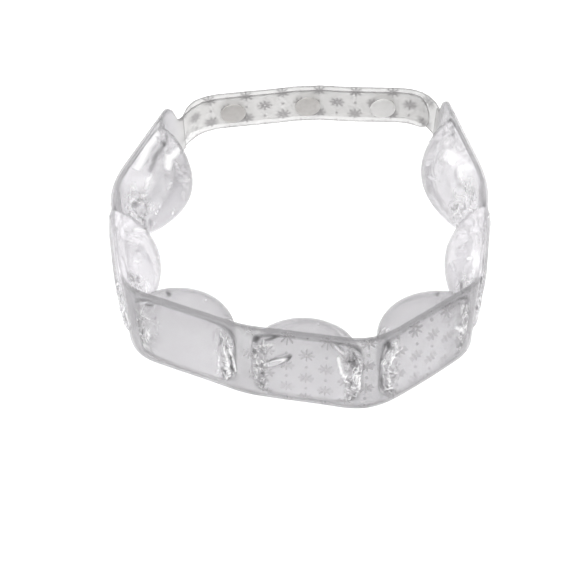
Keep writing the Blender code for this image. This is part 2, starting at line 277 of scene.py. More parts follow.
def shoulder():
    """Rows of (distance past the body's length, half height) from the last chamber to the tab."""
    rows = []
    for step in range(1, SHOULDER_STEPS + 1):
        angle = SHOULDER_SLOPE * step / SHOULDER_STEPS
        run = CORNER_RADIUS * math.sin(angle)
        rows.append((run, HALF_HEIGHT - CORNER_RADIUS * (1 - math.cos(angle))))
    fillet_drop = FILLET_RADIUS * (1 - math.cos(SHOULDER_SLOPE))
    slope_drop = rows[-1][1] - HALF_TAB - fillet_drop
    fillet_start = rows[-1][0] + slope_drop / math.tan(SHOULDER_SLOPE)
    fillet_end = fillet_start + FILLET_RADIUS * math.sin(SHOULDER_SLOPE)
    for step in range(SHOULDER_STEPS + 1):
        angle = SHOULDER_SLOPE * (1 - step / SHOULDER_STEPS)
        run = fillet_end - FILLET_RADIUS * math.sin(angle)
        rows.append((run, HALF_TAB + FILLET_RADIUS * (1 - math.cos(angle))))
    return [(run - END_MARGIN, half) for run, half in rows]


def snap_places():
    """Distances along the strap of the three snaps, from the body's right end."""
    return [STRAP.length / 2 + number * SNAP_SPACING for number in (1, 0, -1)]


def tab_rows():
    """Rows of (distance from the body end, half height), with one flat facet at each snap."""
    root = shoulder()[-1][0]
    flats = []
    for snap_place in sorted(snap_places()):
        flats.append((snap_place - SEAT_HALF, snap_place + SEAT_HALF))
    stops = [root]
    for start, end in flats + [(TAB_LENGTH - HALF_TAB, None)]:
        before = stops[-1]
        count = max(1, math.ceil((start - before) / TAB_STEP))
        stops += [before + (start - before) * (step + 1) / count for step in range(count)]
        if end is not None:
            stops.append(end)
    rows = [(stop, HALF_TAB) for stop in stops[1:]]
    for step in range(1, TAB_END_STEPS + 1):
        angle = math.pi / 2 * step / TAB_END_STEPS
        rows.append((stops[-1] + HALF_TAB * math.sin(angle), HALF_TAB * math.cos(angle)))
    return rows


def squircle(a, b):
    """Moves a square's grid point to rings of the chamber's rounded outline."""
    ring = max(abs(a), abs(b))
    if ring < 1e-9:
        return 0.0, 0.0, 0.0
    norm = (abs(a) ** OUTLINE_POWER + abs(b) ** OUTLINE_POWER) ** (1 / OUTLINE_POWER)
    reach = math.sin(ring * math.pi / 2)
    return a / norm * reach, b / norm * reach, reach


def rise(u, v, reach, power):
    """A bulge's height as a share of its depth: a section each way, closed along the outline."""
    along = max(0.0, 1 - abs(u) ** power)
    upward = max(0.0, 1 - abs(v) ** power)
    rim = max(0.0, 1 - reach**RIM_POWER)
    return math.sqrt(along**END_EASE * upward * rim)


def gather(u, v):
    """What the film's gathers leave of the outer bulge near the chamber's ends."""
    towards_end = smooth((abs(u) - GATHER_START) / GATHER_RUN)
    wave = 0.5 + 0.5 * math.cos(2 * math.pi * GATHER_WAVES * v)
    return 1 - GATHER_SHARE * towards_end * wave


def inner_inset(number, u, v, reach):
    depth = DOME_DEPTH * PILLOWS[number].dome * (1 + DOME_LIFT * v)
    crinkle = inner_crinkle(number, u, v, reach)
    return LAYER_GAP / 2 + depth * rise(u, v, reach, 2) + crinkle


def outer_inset(number, u, v, reach):
    bulge = OUTER_BULGE * PILLOWS[number].bulge * rise(u, v, reach, OUTER_POWER) * gather(u, v)
    return -LAYER_GAP / 2 - bulge - pucker(number, u, v, reach)


# Gathers of the outer film near each chamber end, in shares of the chamber's half sizes
PUCKER_START = 0.66
PUCKER_RUN = 0.14
PUCKER_HEIGHT = 0.0011
PUCKER_WAVES = 4.5
RIM_CLOSE = 0.10

# Where the fine lines of painted glints and painted shade show at the chamber's ends
GATHERED_START = 0.60
GATHERED_RUN = 0.22

# Fine crinkles of the formed domes near their rims, and how far a crease stands out
CRINKLE_START = 0.72
CRINKLE_HEIGHT = 0.0005
CREASE_HEIGHT = 0.0004

Crease = namedtuple("Crease", "tone width runs box")


def crease(tone, width, *points):
    """A crease's painted shade or painted highlight, from its tone, half width in mm and points
    in shares of the half chamber.
    """
    spots = [(u * CHAMBER_LENGTH / 2, v * CHAMBER_HEIGHT / 2) for u, v in points]
    across = [x for x, y in spots]
    upward = [y for x, y in spots]
    width *= MM
    box = (min(across) - width, max(across) + width, min(upward) - width, max(upward) + width)
    runs = list(zip(spots, spots[1:])) or [(spots[0], spots[0])]
    return Crease(tone, width, runs, box)


# Creases of the outer film over pillows 3, 4 and 5, also raised as small ridges: a tone below 0
# is painted shade, above 0 a painted highlight or glint
LEFT_LOOK = (
    crease(-0.9, 1.0, (-0.51, 0.66)),
    crease(-0.8, 1.0, (-0.59, 0.94), (-0.70, 0.90)),
    crease(0.8, 0.8, (-0.79, 0.52), (-0.64, 0.56)),
    crease(0.8, 0.9, (-0.44, 0.54)),
    crease(0.8, 0.9, (-0.68, 0.19), (-0.73, -0.19)),
    crease(-0.8, 0.8, (-0.75, -0.35), (-0.73, -0.52)),
    crease(0.7, 0.8, (-0.53, 0.12)),
    crease(-0.5, 0.6, (-0.88, 0.70), (-0.93, 0.20), (-0.86, -0.15)),
    crease(0.6, 0.7, (-0.86, -0.30), (-0.84, -0.70)),
    crease(-0.9, 0.8, (0.75, 0.71), (0.76, 0.55), (0.73, 0.42)),
    crease(0.9, 0.8, (0.81, 0.35), (0.85, -0.10), (0.88, -0.61)),
    crease(0.9, 0.8, (0.92, 0.31), (0.97, -0.10), (0.99, -0.47)),
    crease(-0.8, 0.6, (0.84, 0.40), (0.90, -0.05), (0.95, -0.45)),
    crease(0.5, 1.6, (0.86, 0.96), (0.94, 0.90)),
    crease(-0.6, 0.6, (0.64, 0.80), (0.62, 0.52)),
    crease(0.6, 0.7, (0.68, 0.25), (0.72, -0.20), (0.66, -0.62)),
    crease(-0.5, 0.6, (0.76, -0.30), (0.80, -0.74)),
    crease(0.6, 0.8, (0.55, -0.14)),
)
FRONT_LOOK = (
    crease(-0.8, 0.8, (-0.53, 1.0), (-0.73, 0.89)),
    crease(0.7, 0.8, (-0.62, 0.84), (-0.78, 0.78)),
    crease(-0.9, 0.8, (-0.86, 0.87), (-0.92, 0.75)),
    crease(-0.9, 0.8, (-0.97, 0.49), (-0.95, 0.35)),
    crease(0.8, 0.8, (-0.90, 0.21), (-0.86, 0.0)),
    crease(-0.7, 0.6, (-0.86, 0.0), (-0.59, 0.42), (-0.37, 0.66), (-0.27, 0.62)),
    crease(-0.6, 0.6, (-0.27, 0.62), (-0.31, 0.44), (-0.51, 0.16), (-0.82, -0.06)),
    crease(0.35, 2.2, (-0.66, 0.18), (-0.40, 0.48)),
    crease(0.9, 0.8, (-0.90, -0.12), (-0.92, -0.49)),
    crease(0.7, 0.9, (-0.79, -0.42)),
    crease(-0.9, 0.8, (-0.84, -0.64), (-0.77, -0.66)),
    crease(0.9, 0.8, (-0.73, -0.64)),
    crease(-0.6, 0.6, (-0.84, -0.16), (-0.83, -0.52)),
    crease(-0.7, 0.6, (0.46, 1.04), (0.64, 0.89)),
    crease(0.7, 0.7, (0.50, 0.96), (0.66, 0.82)),
    crease(0.9, 1.1, (0.57, 0.73), (0.62, 0.35), (0.75, -0.14)),
    crease(-0.7, 1.4, (0.70, 0.58), (0.82, 0.52)),
    crease(0.9, 0.9, (0.90, 0.12), (0.95, -0.20), (0.97, -0.47)),
    crease(-0.9, 0.7, (0.73, 0.02), (0.82, -0.20), (0.78, -0.34), (0.88, -0.52)),
    crease(0.8, 0.9, (0.75, -0.68)),
    crease(-0.6, 0.6, (0.90, 0.44), (0.84, 0.20)),
    crease(0.6, 0.8, (0.44, -0.07)),
)
RIGHT_LOOK = (
    crease(-0.7, 0.9, (-0.81, 1.0), (-1.0, 0.40)),
    crease(-0.9, 0.9, (-0.88, 0.80), (-0.81, 0.73)),
    crease(0.9, 0.7, (-0.77, 0.89), (-0.77, 0.59), (-0.86, 0.26)),
    crease(0.9, 0.7, (-0.66, 0.70), (-0.77, 0.59)),
    crease(0.9, 1.6, (-0.95, 0.33)),
    crease(0.8, 0.9, (-0.81, -0.59)),
    crease(-0.9, 0.8, (-0.88, -0.68), (-0.77, -0.68)),
    crease(-0.7, 0.7, (-0.97, -0.24), (-0.92, -0.64)),
    crease(0.6, 0.7, (-0.86, 0.05), (-0.84, -0.40)),
    crease(-0.9, 0.9, (0.66, 0.92)),
    crease(-0.8, 0.8, (0.62, 0.68)),
    crease(-0.8, 0.8, (0.79, 0.73), (0.81, 0.52)),
    crease(-0.8, 0.9, (0.86, 0.80)),
    crease(0.8, 1.2, (0.57, 0.35), (0.74, 0.10), (0.88, -0.19)),
    crease(0.8, 0.9, (0.51, 0.49)),
    crease(-0.7, 0.6, (0.66, 0.36), (0.84, 0.06)),
    crease(0.7, 0.7, (0.70, 0.62), (0.72, 0.84)),
    crease(-0.9, 0.8, (0.92, -0.47)),
    crease(0.9, 0.9, (0.84, -0.66)),
    crease(0.6, 0.7, (0.94, 0.20), (0.98, -0.25)),
)
OUTER_LOOKS = (RIGHT_LOOK, LEFT_LOOK, LEFT_LOOK, FRONT_LOOK, RIGHT_LOOK, FRONT_LOOK, LEFT_LOOK)

# Creases of the domes on the neck side, pillow 1 first, also raised as small ridges: a tone below
# 0 is painted shade, above 0 a painted highlight or reflection
INNER_LOOKS = (
    (
        crease(0.9, 1.3, (-0.55, 0.78), (-0.20, 0.86), (0.05, 0.82)),
        crease(-0.5, 0.7, (-0.51, 0.96), (-0.42, 0.93)),
        crease(0.7, 0.8, (-0.20, 0.78), (-0.10, 0.72)),
        crease(0.7, 0.8, (0.35, 0.90), (0.53, 0.86), (0.68, 0.78)),
        crease(0.6, 0.9, (0.37, 0.62), (0.24, 0.68)),
        crease(0.7, 0.7, (-0.80, 0.97), (-0.20, 0.99), (0.42, 0.97)),
        crease(-0.6, 0.6, (-0.70, 0.90), (-0.10, 0.94), (0.44, 0.90)),
        crease(0.7, 0.9, (0.44, -0.10), (0.40, 0.04)),
        crease(-0.8, 0.8, (0.48, -0.47), (0.51, -0.56)),
        crease(-0.6, 0.8, (0.75, -0.31), (0.78, -0.08)),
        crease(0.5, 1.2, (0.07, 0.60), (-0.20, 0.40)),
        crease(0.5, 0.9, (-0.64, 0.60), (-0.70, 0.20)),
        crease(0.5, 0.9, (0.60, 0.40), (0.70, 0.10)),
        crease(-0.4, 0.7, (0.52, 0.55), (0.64, 0.20)),
    ),
    (
        crease(0.9, 1.0, (-0.29, 0.87), (-0.35, 0.71)),
        crease(0.7, 1.0, (-0.29, 0.54)),
        crease(0.8, 1.4, (-0.93, -0.60)),
        crease(0.9, 1.0, (0.48, 0.87)),
        crease(0.6, 0.9, (0.11, 0.47), (0.26, 0.10)),
        crease(-0.6, 0.7, (-0.15, 0.82), (-0.10, 0.50)),
    ),
    (
        crease(-0.8, 0.9, (-0.48, 0.88), (-0.39, 0.92)),
        crease(0.6, 0.9, (0.24, 0.86)),
    ),
    (crease(0.6, 0.9, (0.13, 0.87)),),
    (
        crease(-0.8, 0.9, (0.46, 0.89), (0.53, 0.87)),
        crease(-0.6, 0.8, (0.70, 0.85)),
    ),
    (
        crease(0.9, 1.0, (0.90, 0.33)),
        crease(-0.7, 0.9, (0.29, 0.90)),
        crease(-0.6, 0.8, (0.44, 0.64)),
        crease(0.9, 1.2, (-0.51, 0.90)),
        crease(0.5, 1.0, (-0.40, 0.56), (-0.55, 0.56)),
        crease(0.5, 0.9, (0.10, 0.60), (0.20, 0.20)),
    ),
    (
        crease(-0.8, 0.8, (0.59, 0.97)),
        crease(-0.8, 0.8, (0.40, 0.95)),
        crease(-0.7, 0.7, (0.20, 0.97)),
        crease(-0.8, 0.7, (0.51, 0.90)),
        crease(-0.8, 0.7, (0.24, 0.87)),
        crease(-0.6, 0.7, (0.40, 0.85)),
        crease(0.7, 1.0, (-0.18, 0.88), (-0.27, 0.89)),
        crease(0.7, 0.9, (-0.59, 0.85)),
        crease(0.7, 0.7, (-0.44, 0.93), (-0.77, 0.78)),
        crease(-0.6, 0.6, (-0.40, 0.88), (-0.72, 0.72)),
        crease(0.8, 1.2, (-0.84, 0.26)),
        crease(0.5, 1.0, (-0.11, 0.42), (-0.29, 0.52)),
        crease(0.5, 0.8, (0.62, 0.70), (0.74, 0.40)),
    ),
)


def line_distance(x, y, start, end):
    """The distance from a point to a straight run."""
    run_x, run_y = end[0] - start[0], end[1] - start[1]
    square = run_x * run_x + run_y * run_y
    share = 0.0
    if square:
        share = min(max(((x - start[0]) * run_x + (y - start[1]) * run_y) / square, 0.0), 1.0)
    return math.hypot(x - start[0] - share * run_x, y - start[1] - share * run_y)


def crease_painted_light(look, u, v):
    """The creases' painted shade, below 0, or painted highlight, above 0, at this place, from -1
    to 1.
    """
    x, y = u * CHAMBER_LENGTH / 2, v * CHAMBER_HEIGHT / 2
    mark = 0.0
    for found in look:
        left, right, low, high = found.box
        if left < x < right and low < y < high:
            off = min(line_distance(x, y, *run) for run in found.runs)
            mark += found.tone * smooth(1 - off / found.width)
    return min(max(mark, -1.0), 1.0)


def pucker(number, u, v, reach):
    """Small ridges and hollows where the film is gathered at the chamber's ends."""
    inside = smooth((1 - reach) / RIM_CLOSE)
    if inside == 0:
        return 0.0
    ridge = CREASE_HEIGHT * crease_painted_light(OUTER_LOOKS[number], u, v)
    near_end = smooth((abs(u) - PUCKER_START) / PUCKER_RUN)
    if near_end:
        side = 1 if u > 0 else -1
        spot = Vector((5.3 * number + 2.1 * side, PUCKER_WAVES * v, 7 * abs(u)))
        wave = noise.noise(spot) + 0.5 * noise.noise(2.1 * spot)
        ridge += PUCKER_HEIGHT * near_end * wave
    return inside * ridge


def inner_crinkle(number, u, v, reach):
    """Creases and fine crinkles of a dome, strongest near its rim."""
    inside = smooth((1 - reach) / RIM_CLOSE)
    if inside == 0:
        return 0.0
    ridge = CREASE_HEIGHT * crease_painted_light(INNER_LOOKS[number], u, v)
    near_rim = smooth((reach - CRINKLE_START) / (1 - CRINKLE_START))
    if near_rim:
        spot = Vector((3.7 * number + 4 * u, 4 * v, 1.7))
        ridge += CRINKLE_HEIGHT * near_rim * (noise.noise(spot) + noise.noise(2.3 * spot))
    return inside * ridge


def columns(with_tabs, steps):
    """The film's columns: a pillow's number and grid share, or a place with its half height."""
    edge = shoulder() + (tab_rows() if with_tabs else [])
    edge = [(BODY_LENGTH + run, half) for run, half in edge]
    found = [("plain", BODY_LENGTH - s, half) for s, half in reversed(edge)]
    for number in range(len(PILLOWS)):
        for step in range(1, GAP_STEPS) if number else ():
            run = 2 * END_MARGIN * (step / GAP_STEPS - 0.5)
            found.append(("plain", number * PILLOW_PITCH + run, HALF_HEIGHT))
        for step in range(steps + 1):
            found.append(("chamber", number, 2 * step / steps - 1))
    return found + [("plain", s, half) for s, half in edge]


# The outer film's print: the pitches of its staggered lattice on the body and on the strap, how
# far the tabs' motifs lie along and up, one motif's place on the body, and how far the lattice
# lies over before the hinge of pillow 5
BODY_PRINT = (0.0164, 0.0160)
STRAP_PRINT = (0.0179, 0.0146)
STRAP_PRINT_SHIFT = 0.0033
INNER_TAB_UP = 0.0028
OUTER_TAB_UP = -0.0003
PRINT_FROM = (0.231, 0.004)
PRINT_SLIP = (0.0044, -0.0020)
SLIP_FROM = 0.2145
SLIP_RUN = 0.003

# How strongly the print shows from place to place along the strip
PRINT_STOPS = (
    (-1.0, 1.0),
    (-0.008, 1.0),
    (-0.004, 0.0),
    (0.0, 0.0),
    (0.004, 0.08),
    (0.150, 0.05),
    (0.162, 0.35),
    (0.180, 0.45),
    (0.205, 0.48),
    (0.212, 0.66),
    (0.222, 0.58),
    (0.258, 0.52),
    (0.272, 0.20),
    (0.366, 0.15),
    (0.371, 0.0),
    (0.376, 0.90),
    (1.0, 0.90),
)


def print_place(s, height):
    """The place on the print's lattice, in pitches; the tabs' motifs lie over one another."""
    if s < 0 or s > BODY_LENGTH:
        run = STRAP.length + s if s < 0 else s - BODY_LENGTH
        height -= INNER_TAB_UP if s < 0 else OUTER_TAB_UP
        along = run - STRAP.length / 2 - STRAP_PRINT_SHIFT
        return along / STRAP_PRINT[0], height / STRAP_PRINT[1]
    slip = 1 - smooth((s - SLIP_FROM) / SLIP_RUN)
    along = (s - PRINT_FROM[0] + slip * PRINT_SLIP[0]) / BODY_PRINT[0]
    return along, (height - PRINT_FROM[1] + slip * PRINT_SLIP[1]) / BODY_PRINT[1]


# How milky the film looks from place to place along the strip
MILK_STOPS = (
    (-1.0, 0.52),
    (0.0, 0.46),
    (0.010, 0.36),
    (0.053, 0.36),
    (0.075, 0.30),
    (0.110, 0.36),
    (0.255, 0.38),
    (0.285, 0.30),
    (0.371, 0.30),
    (0.380, 0.52),
    (1.0, 0.52),
)

# How light its milky part is, painted lighter and darker along the strip as painted light and
# shade
MILK_LIGHT_AND_SHADE_STOPS = (
    (-1.0, 0.55),
    (-0.004, 0.56),
    (0.010, 0.49),
    (0.050, 0.50),
    (0.065, 0.66),
    (0.098, 0.58),
    (0.112, 0.44),
    (0.165, 0.44),
    (0.180, 0.42),
    (0.258, 0.42),
    (0.275, 0.60),
    (0.310, 0.61),
    (0.330, 0.52),
    (0.366, 0.52),
    (0.376, 0.55),
    (1.0, 0.55),
)


def read_stops(stops, s):
    """The value at this distance, read between the stops."""
    for (before, first), (after, second) in zip(stops, stops[1:]):
        if s <= after:
            return first + (second - first) * (s - before) / (after - before)
    return stops[-1][1]


FilmPoint = namedtuple("FilmPoint", "position s height edge_distance mark gathered")


def film_point(column, b, edge, inset_of, looks):
    """A film's point: b is the row's share of the chamber height, edge -1, 0 or 1."""
    kind, first, second = column
    if kind == "plain":
        height = (edge if edge else b * CHAMBER_SHARE) * second
        flat = inset_of(0, 0, 0, 1.0)
        return FilmPoint(place(first, height, flat), first, height, second - abs(height), 0, 0)
    middle = (first + 0.5) * PILLOW_PITCH
    if edge:
        s = middle + math.sin(second * math.pi / 2) * CHAMBER_LENGTH / 2
        height = edge * HALF_HEIGHT
        flat = inset_of(first, 0, 0, 1.0)
        return FilmPoint(place(s, height, flat), s, height, 0.0, 0, 0)
    u, v, reach = squircle(second, b)
    s = middle + u * CHAMBER_LENGTH / 2
    height = v * CHAMBER_HEIGHT / 2
    position = place(s, height, inset_of(first, u, v, reach))
    # The creases' painted shade and painted highlight at this point
    mark = crease_painted_light(looks[first], u, v)
    gathered = smooth((abs(u) - GATHERED_START) / GATHERED_RUN)
    gathered *= smooth((1 - reach) / RIM_CLOSE * 2)
    return FilmPoint(position, s, height, HALF_HEIGHT - abs(height), mark, gathered)


def film(name, node, with_tabs, steps, inset_of, looks, side, finish):
    """One welded film with the print's lattice and strip places as UV maps and its marks, among
    them painted shade and painted highlights.
    """
    found = columns(with_tabs, steps)
    rows = steps + 2
    across = len(found) - 1
    shape = bmesh.new()
    bmesh.ops.create_grid(shape, x_segments=across, y_segments=rows, size=1)
    lattice = shape.loops.layers.uv.new("print")
    strip = shape.loops.layers.uv.new("strip")
    edge_layer = shape.verts.layers.float.new("edge_distance")
    painted_light_layer = shape.verts.layers.float.new("crease_painted_light")
    strap_layer = shape.verts.layers.float.new("on_strap")
    share_layer = shape.verts.layers.float.new("print_share")
    milk_layer = shape.verts.layers.float.new("milk")
    light_and_shade_layer = shape.verts.layers.float.new("milk_light_and_shade")
    gathered_layer = shape.verts.layers.float.new("gathered")
    flat_points = {}
    for vert in shape.verts:
        column = round((vert.co.x + 1) / 2 * across)
        row = round((vert.co.y + 1) / 2 * rows)
        edge = -1 if row == 0 else 1 if row == rows else 0
        point = film_point(found[column], 2 * (row - 1) / steps - 1, edge, inset_of, looks)
        vert.co = point.position
        vert[edge_layer] = point.edge_distance
        # Painted shade and painted highlight of the creases
        vert[painted_light_layer] = point.mark
        vert[strap_layer] = smooth(max(-point.s, point.s - BODY_LENGTH) / SHOULDER_BLEND)
        vert[share_layer] = read_stops(PRINT_STOPS, point.s)
        vert[milk_layer] = read_stops(MILK_STOPS, point.s)
        # Painted light and shade of the milky part along the strip
        vert[light_and_shade_layer] = read_stops(MILK_LIGHT_AND_SHADE_STOPS, point.s)
        vert[gathered_layer] = point.gathered
        flat_points[vert.index] = (print_place(point.s, point.height), (point.s, point.height))
    for face in shape.faces:
        face.smooth = True
        for loop in face.loops:
            loop[lattice].uv, loop[strip].uv = flat_points[loop.vert.index]
    bmesh.ops.remove_doubles(shape, verts=shape.verts, dist=1e-6)
    obj = add_mesh(name, shape, finish)
    wall = obj.modifiers.new("wall", "SOLIDIFY")
    wall.thickness = FILM
    wall.offset = side
    wall.use_even_offset = True
    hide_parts(node)
    return obj


def gel_pillow(number, finish):
    """The filling of one chamber, a clearance inside both films."""
    middle = (number + 0.5) * PILLOW_PITCH
    half_length = CHAMBER_LENGTH / 2 - CLEARANCE
    half_height = CHAMBER_HEIGHT / 2 - CLEARANCE

    def side(inset_of, inward):
        shape = bmesh.new()
        bmesh.ops.create_grid(shape, x_segments=GEL_STEPS, y_segments=GEL_STEPS, size=1)
        for vert in shape.verts:
            u, v, reach = squircle(vert.co.x, vert.co.y)
            inset = 0.0
            if reach < 1 - 1e-9:
                inset = inset_of(number, u, v, reach) - inward * CLEARANCE
            vert.co = place(middle + u * half_length, v * half_height, inset)
        return shape

    shape = side(outer_inset, -1)
    neck_side = side(inner_inset, 1)
    bmesh.ops.reverse_faces(neck_side, faces=neck_side.faces)
    joined = bpy.data.meshes.new("neck_side")
    neck_side.to_mesh(joined)
    neck_side.free()
    shape.from_mesh(joined)
    bpy.data.meshes.remove(joined)
    bmesh.ops.remove_doubles(shape, verts=shape.verts, dist=1e-6)
    for face in shape.faces:
        face.smooth = True
    obj = add_mesh(f"gel_body_{number + 1}", shape, finish)
    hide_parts(f"gel_pillow_{number + 1}")
    return obj


def add_mesh(name, shape, finish):
    mesh = bpy.data.meshes.new(name)
    shape.to_mesh(mesh)
    shape.free()
    mesh.materials.append(finish)
    obj = bpy.data.objects.new(name, mesh)
    bpy.context.scene.collection.objects.link(obj)
    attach(obj, "root")
    return obj


def snap_seat(along):
    """The seat's matrix: between the two flat facets of the tabs, Z towards the neck."""
    before = STRAP.at(along - SEAT_HALF)
    after = STRAP.at(along + SEAT_HALF)
    centre = (before[0] + after[0]) / 2 + FILM_MIDDLE * (before[1] + after[1]) / 2
    across = (after[0] - before[0]).normalized()
    inward = Vector((-across.y, across.x, 0))
    up = Vector((0, 0, 1))
    turn = Matrix((up.cross(inward), up, inward)).transposed()
    return Matrix.Translation(centre + HALF_HEIGHT * up) @ turn.to_4x4()


def snap_cap(name, matrix, finish):
    """A low domed cap with a rounded rim on its seat."""
    under = TAB_OFFSET + FILM / 2 + CLEARANCE
    rim = under + CAP_RIM
    profile = [(0, rim + CAP_DOME)]
    for share in CAP_RINGS:
        profile.append((CAP_RADIUS * share, rim + CAP_DOME * (1 - share**4)))
    profile += [(CAP_RADIUS, under + CAP_EDGE), (CAP_RADIUS - CAP_EDGE, under), (0, under)]
    shape = bmesh.new()
    verts = [shape.verts.new((radius, 0, height)) for radius, height in profile]
    edges = [shape.edges.new(pair) for pair in zip(verts, verts[1:])]
    bmesh.ops.spin(
        shape,
        geom=verts + edges,
        cent=(0, 0, 0),
        axis=(0, 0, 1),
        angle=2 * math.pi,
        steps=CAP_SIDES,
        use_merge=True,
    )
    bmesh.ops.remove_doubles(shape, verts=shape.verts, dist=1e-6)
    bmesh.ops.recalc_face_normals(shape, faces=shape.faces)
    for face in shape.faces:
        face.smooth = True
    bmesh.ops.transform(shape, matrix=matrix, verts=shape.verts)
    obj = add_mesh(name, shape, finish)
    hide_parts(name.replace("disc", "cap"))
    return obj


class Nodes:
    """A material's or world's node tree, with short ways to add and join nodes."""

    def __init__(self, tree):
        self.tree = tree
        tree.nodes.clear()

    def add(self, kind, **settings):
        node = self.tree.nodes.new(kind)
        for name, value in settings.items():
            setattr(node, name, value)
        return node

    def put(self, socket, value):
        if isinstance(value, bpy.types.NodeSocket):
            self.tree.links.new(value, socket)
        else:
            socket.default_value = value

    def attribute(self, name):
        return self.add("ShaderNodeAttribute", attribute_name=name).outputs["Fac"]

    def math(self, operation, *values):
        node = self.add("ShaderNodeMath", operation=operation)
        for socket, value in zip(node.inputs, values):
            self.put(socket, value)
        return node.outputs[0]

    def ramp(self, value, low, high, start=0.0, end=1.0):
        """Runs smoothly from start to end as the value passes from low to high."""
        node = self.add("ShaderNodeMapRange", interpolation_type="SMOOTHSTEP")
        limits = {"From Min": low, "From Max": high, "To Min": start, "To Max": end}
        for name, number in limits.items():
            node.inputs[name].default_value = number
        self.put(node.inputs["Value"], value)
        return node.outputs["Result"]

    def mix_colour(self, share, first, second):
        node = self.add("ShaderNodeMix", data_type="RGBA")
        self.put(node.inputs["Factor"], share)
        self.put(node.inputs[6], first)
        self.put(node.inputs[7], second)
        return node.outputs[2]

    def times(self, first, second):
        node = self.add("ShaderNodeMix", data_type="RGBA", blend_type="MULTIPLY")
        self.put(node.inputs["Factor"], 1.0)
        self.put(node.inputs[6], first)
        self.put(node.inputs[7], second)
        return node.outputs[2]

    def mix_shaders(self, share, first, second):
        node = self.add("ShaderNodeMixShader")
        self.put(node.inputs[0], share)
        self.put(node.inputs[1], first)
        self.put(node.inputs[2], second)
        return node.outputs[0]

    def finish(self, shader):
        output = self.add("ShaderNodeOutputMaterial")
        self.put(output.inputs["Surface"], shader)


# A motif of the print in millimetres: eight strokes round a gap, and the dot between motifs
MOTIF_PITCH = (17.4, 16.4)
STROKE_IN = 0.65
STROKE_OUT = 3.6
STROKE_WIDTH = 0.72
DOT_RADIUS = 0.7
STROKES = 8
PRINT_BLUR = 0.1
DOT_SHARE = 0.8


def lattice_offsets(nodes, along, up, shift):
    """Offsets in mm from the nearest point of one lattice, shifted by shares of its pitches."""
    offsets = []
    for value, pitch, part in zip((along, up), MOTIF_PITCH, shift):
        share = nodes.math("FRACT", nodes.math("ADD", value, 0.5 - part))
        local = nodes.math("SUBTRACT", share, 0.5)
        offsets.append(nodes.math("MULTIPLY", local, pitch))
    return offsets


def radius_of(nodes, x, y):
    square = nodes.math("ADD", nodes.math("MULTIPLY", x, x), nodes.math("MULTIPLY", y, y))
    return nodes.math("SQRT", square)


def snowflake(nodes, x, y):
    """1 on the strokes of a snowflake round the offsets' zero."""
    radius = radius_of(nodes, x, y)
    turn = nodes.math("ADD", nodes.math("ARCTAN2", y, x), math.pi * (1 + 1 / STROKES))
    share = nodes.math("FRACT", nodes.math("DIVIDE", turn, 2 * math.pi / STROKES))
    off = nodes.math("MULTIPLY", nodes.math("SUBTRACT", share, 0.5), 2 * math.pi / STROKES)
    side = nodes.math("ABSOLUTE", nodes.math("MULTIPLY", radius, nodes.math("SINE", off)))
    across = nodes.ramp(side, STROKE_WIDTH / 2 - PRINT_BLUR, STROKE_WIDTH / 2 + PRINT_BLUR, 1, 0)
    inner = nodes.ramp(radius, STROKE_IN - PRINT_BLUR, STROKE_IN + PRINT_BLUR)
    outer = nodes.ramp(radius, STROKE_OUT - PRINT_BLUR, STROKE_OUT + PRINT_BLUR, 1, 0)
    return nodes.math("MULTIPLY", across, nodes.math("MULTIPLY", inner, outer))


def film_print(nodes):
    """The print's share on the strip, fading where the photograph hardly shows it."""
    parts = nodes.add("ShaderNodeSeparateXYZ")
    nodes.put(parts.inputs[0], nodes.add("ShaderNodeUVMap", uv_map="print").outputs[0])
    along, up = parts.outputs[0], parts.outputs[1]
    marks = []
    for shift in ((0, 0), (0.5, 0.5)):
        marks.append(snowflake(nodes, *lattice_offsets(nodes, along, up, shift)))
    for shift in ((0.5, 0), (0, 0.5)):
        radius = radius_of(nodes, *lattice_offsets(nodes, along, up, shift))
        dot = nodes.ramp(radius, DOT_RADIUS - PRINT_BLUR, DOT_RADIUS + PRINT_BLUR, DOT_SHARE, 0)
        marks.append(dot)
    total = marks[0]
    for mark in marks[1:]:
        total = nodes.math("MAXIMUM", total, mark)
    return nodes.math("MULTIPLY", total, nodes.attribute("print_share"))


# The loop-shaped crease at the left of pillow 4, drawn in painted shade and painted highlight:
# its middle on the strip, half length, half width and slant; then, in shares of the half sizes,
# its line's half width, the fade beside it and the white ring of painted highlight inside, and
# how strong the painted shade and highlight are
LOOP_MIDDLE = (0.1722, 0.0060)
LOOP_HALF = (0.0088, 0.0017)
LOOP_SLANT = math.radians(42)
LOOP_LINE = 0.06
LOOP_FADE = 0.22
LOOP_INSIDE = 0.62
LOOP_PAINTED_SHADE = 0.8
LOOP_PAINTED_HIGHLIGHT = 0.4


def loop_crease(nodes):
    """-1 on the outline of the loop-shaped crease, painted shade, and up to 1 just inside it,
    painted highlight.
    """
    parts = nodes.add("ShaderNodeSeparateXYZ")
    nodes.put(parts.inputs[0], nodes.add("ShaderNodeUVMap", uv_map="strip").outputs[0])
    x = nodes.math("SUBTRACT", parts.outputs[0], LOOP_MIDDLE[0])
    y = nodes.math("SUBTRACT", parts.outputs[1], LOOP_MIDDLE[1])
    across, upward = math.cos(LOOP_SLANT), math.sin(LOOP_SLANT)
    turned = []
    for (share_x, share_y), half in zip(((across, upward), (-upward, across)), LOOP_HALF):
        upright = nodes.math("MULTIPLY", y, share_y / half)
        turned.append(nodes.math("MULTIPLY_ADD", x, share_x / half, upright))
    ring = radius_of(nodes, *turned)
    off_line = nodes.math("ABSOLUTE", nodes.math("SUBTRACT", ring, 1.0))
    dark = nodes.ramp(off_line, LOOP_LINE, LOOP_FADE, LOOP_PAINTED_SHADE, 0)
    off_inside = nodes.math("ABSOLUTE", nodes.math("SUBTRACT", ring, LOOP_INSIDE))
    white = nodes.ramp(off_inside, 0.0, LOOP_FADE, LOOP_PAINTED_HIGHLIGHT, 0)
    return nodes.math("SUBTRACT", white, dark)


